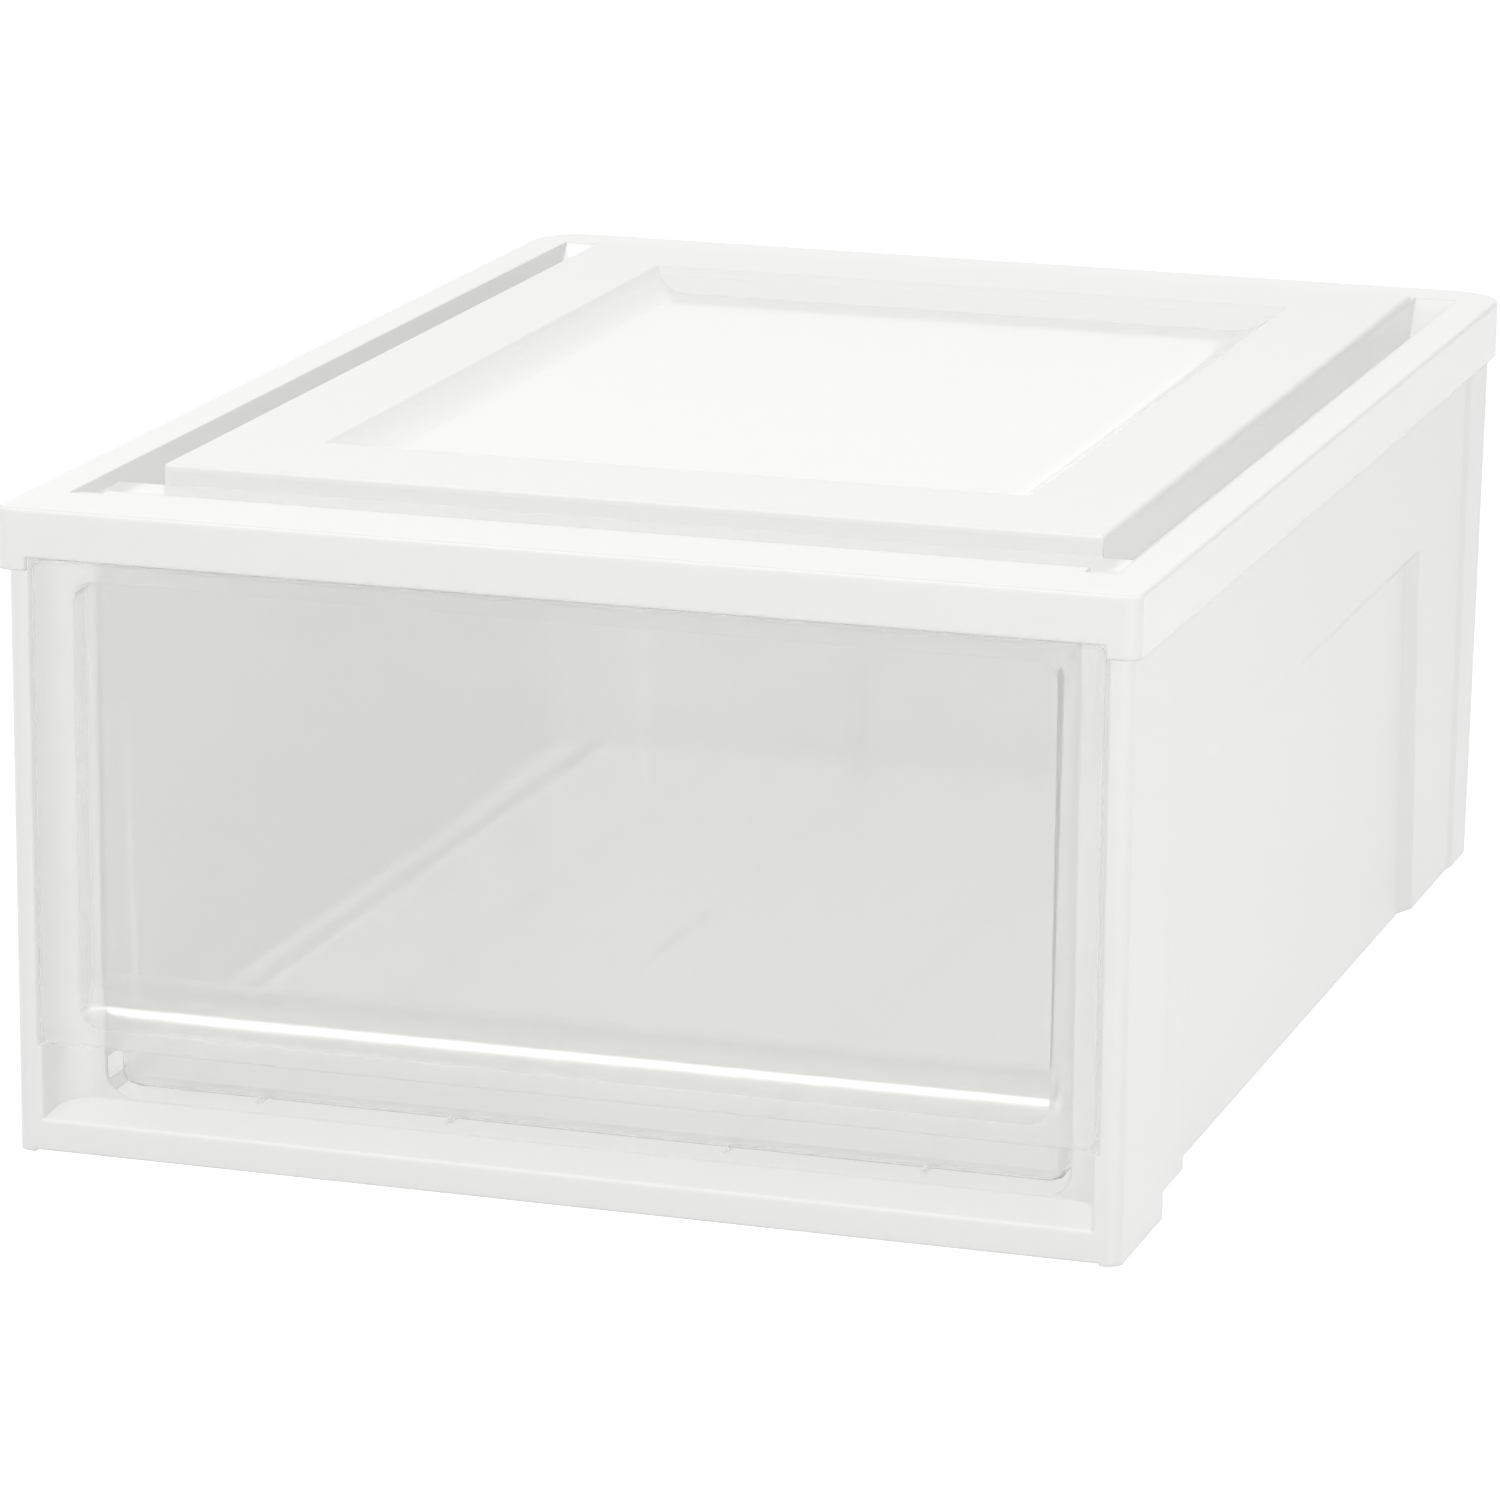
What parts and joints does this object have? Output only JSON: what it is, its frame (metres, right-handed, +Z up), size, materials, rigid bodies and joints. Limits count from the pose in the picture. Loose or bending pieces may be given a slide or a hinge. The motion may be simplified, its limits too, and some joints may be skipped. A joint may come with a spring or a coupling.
{
  "type": "stackable drawer box",
  "caption": "Rectangular stacking drawer box: a white open-front cabinet with a grooved press-on cover, and one clear pull-out drawer with a dished front and a finger lip.",
  "frame": {"origin": "middle of the footprint, on the floor that the box stands on", "axes": "+X to the right seen from the front, +Y to the back, +Z up; the drawer faces -Y"},
  "size_m": [0.4, 0.56, 0.23],
  "materials": {
    "white_housing": "satin moulded polypropylene, opaque white",
    "white_cover": "satin moulded polypropylene, opaque white, glossy in the well",
    "clear_drawer": "clear moulded polypropylene, slightly hazy"
  },
  "bodies": {
    "cabinet": {"cabinet_body": "white_housing", "top_cover": "white_cover"},
    "drawer": {"drawer": "clear_drawer"}
  },
  "joints": [
    {"name": "drawer_slide", "type": "slide", "parent": "cabinet", "child": "drawer", "axis": [0, -1, 0], "range_m": [0, 0.42]}
  ]
}
